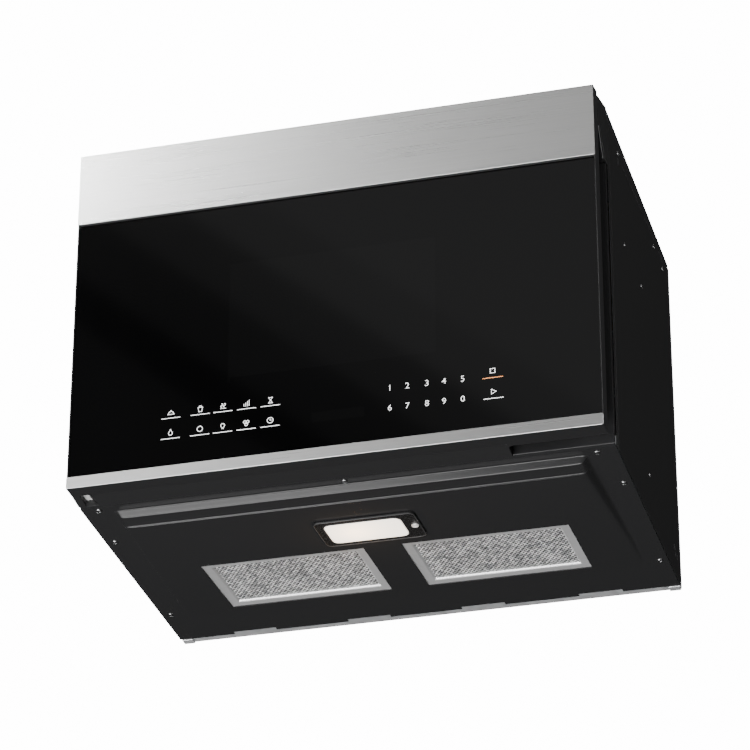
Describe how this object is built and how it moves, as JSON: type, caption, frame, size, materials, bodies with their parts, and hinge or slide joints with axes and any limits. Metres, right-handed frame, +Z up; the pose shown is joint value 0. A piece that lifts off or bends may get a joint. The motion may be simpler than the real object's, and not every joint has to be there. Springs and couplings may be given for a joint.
{
  "type": "over the range microwave oven",
  "caption": "Wall-hung microwave oven over a range, with a side-hinged glass door under a stainless band, a turntable, vent blower, hood lamp and sliding grease filters.",
  "frame": {"origin": "centre of the case height and width on the back panel, at the face that rests on the wall", "axes": "+Z up; +Y into the wall, so the door faces -Y; +X to the right seen from the front"},
  "size_m": [0.606, 0.434, 0.4433],
  "materials": {
    "black_paint": "satin black enamel paint on sheet steel",
    "black_plastic": "fine-textured black moulded plastic",
    "stainless": "horizontally brushed stainless steel",
    "dark_glass": "black-printed tempered glass",
    "zinc_sheet": "plain galvanised sheet steel",
    "zinc_screw": "bright zinc-plated steel",
    "enamel": "grey cavity enamel",
    "aluminium": "bare aluminium, expanded mesh and roll-formed frame",
    "clear_glass": "clear tempered glass",
    "lens": null,
    "bulb_glass": "frosted bulb glass",
    "white_plastic": "heat-resistant off-white plastic",
    "white_ceramic": "white lamp socket",
    "copper": "varnished copper winding wire",
    "core_steel": "laminated core and motor steel",
    "circuit_board": "phenolic circuit board with its parts",
    "carbon": "black cartridge with activated carbon",
    "mica": "pressed mica sheet",
    "rubber": "black rubber"
  },
  "bodies": {
    "cabinet": {"outer_case": "black_paint", "base_panel": "black_paint", "back_panel": "zinc_sheet", "top_outlet_plate": "zinc_sheet", "rear_outlet_plate": "zinc_sheet", "cord_gland": "rubber", "vent_grille": "black_plastic", "vent_deflector": "zinc_sheet", "exhaust_duct": "zinc_sheet", "carbon_filter": "carbon", "blower_housing": "zinc_sheet", "blower_motor": "core_steel", "fan_plate": "black_plastic", "fan_motor": "core_steel", "front_frame": "black_paint", "cavity_liner": "enamel", "waveguide_cover": "mica", "waveguide": "zinc_sheet", "magnetron": "zinc_sheet", "transformer_core": "core_steel", "transformer_windings": "copper", "capacitor": "aluminium", "power_board": "circuit_board", "chassis_plate": "zinc_sheet", "interlock_switches": "white_plastic", "oven_lamp": "white_ceramic", "turntable_motor": "zinc_sheet", "lower_hinge": "zinc_sheet", "upper_hinge": "zinc_sheet", "lamp_housing": "zinc_sheet", "lamp_socket": "white_ceramic", "lamp_bulb": "bulb_glass", "filter_rails": "zinc_sheet"},
    "door": {"door_frame": "black_plastic", "door_glass": "dark_glass", "top_band": "stainless", "bottom_trim": "stainless", "control_board": "circuit_board", "door_inner_panel": "enamel", "inner_window": "clear_glass", "window_screen": "black_paint", "choke_cover": "black_plastic", "latch_spring": "zinc_screw"},
    "latch": {"door_latch": "white_plastic"},
    "turntable": {"turntable_tray": "clear_glass", "drive_coupler": "white_plastic"},
    "roller_ring": {"roller_ring": "white_plastic"},
    "roller_1": {"roller_1": "white_plastic"},
    "roller_2": {"roller_2": "white_plastic"},
    "roller_3": {"roller_3": "white_plastic"},
    "blower": {"blower_shaft": "zinc_screw", "blower_wheel_left": "zinc_sheet", "blower_wheel_right": "zinc_sheet"},
    "cooling_fan": {"cooling_fan": "black_plastic"},
    "lamp_cover": {"lamp_cover": "black_plastic", "lamp_lens": "lens", "lamp_cover_screw": "zinc_screw"},
    "filter_left": {"grease_filter_left": "aluminium"},
    "filter_right": {"grease_filter_right": "aluminium"}
  },
  "joints": [
    {"name": "door_hinge", "type": "hinge", "parent": "cabinet", "child": "door", "pos_m": [-0.29, -0.406, -0.044], "axis": [0, 0, 1], "range_deg": [-95, 0]},
    {"name": "latch_slide", "type": "slide", "parent": "door", "child": "latch", "axis": [0, 0, 1], "range_m": [0, 0.004], "stiffness_N_per_m": 400, "springref_m": -0.003, "deforming": ["latch_spring"]},
    {"name": "turntable_spin", "type": "hinge", "parent": "cabinet", "child": "turntable", "pos_m": [0, -0.2147, -0.107], "axis": [0, 0, 1], "continuous": true},
    {"name": "ring_spin", "type": "hinge", "parent": "cabinet", "child": "roller_ring", "pos_m": [0, -0.2147, -0.1142], "axis": [0, 0, 1], "continuous": true},
    {"name": "roller_1_spin", "type": "hinge", "parent": "roller_ring", "child": "roller_1", "pos_m": [0, -0.1047, -0.1142], "axis": [0, 1, 0], "continuous": true},
    {"name": "roller_2_spin", "type": "hinge", "parent": "roller_ring", "child": "roller_2", "pos_m": [-0.09526, -0.2697, -0.1142], "axis": [-0.866, -0.5, 0], "continuous": true},
    {"name": "roller_3_spin", "type": "hinge", "parent": "roller_ring", "child": "roller_3", "pos_m": [0.09526, -0.2697, -0.1142], "axis": [0.866, -0.5, 0], "continuous": true},
    {"name": "blower_spin", "type": "hinge", "parent": "cabinet", "child": "blower", "pos_m": [0, -0.069, 0.1578], "axis": [1, 0, 0], "continuous": true},
    {"name": "cooling_fan_spin", "type": "hinge", "parent": "cabinet", "child": "cooling_fan", "pos_m": [0.2516, -0.084, 0.012], "axis": [0, 1, 0], "continuous": true},
    {"name": "lamp_cover_hinge", "type": "hinge", "parent": "cabinet", "child": "lamp_cover", "pos_m": [-0.058, -0.26851, -0.22416], "axis": [0, 0.999, 0.0436], "range_deg": [0, 80]},
    {"name": "left_filter_slide", "type": "slide", "parent": "cabinet", "child": "filter_left", "axis": [0, 0.999, 0.0436], "range_m": [0, 0.007]},
    {"name": "right_filter_slide", "type": "slide", "parent": "cabinet", "child": "filter_right", "axis": [0, 0.999, 0.0436], "range_m": [0, 0.007]}
  ],
  "couplings": [
    {"joint": "ring_spin", "follows": "turntable_spin", "ratio": 0.5},
    {"joint": "roller_1_spin", "follows": "turntable_spin", "ratio": -7.3333},
    {"joint": "roller_2_spin", "follows": "turntable_spin", "ratio": -7.3333},
    {"joint": "roller_3_spin", "follows": "turntable_spin", "ratio": -7.3333}
  ]
}
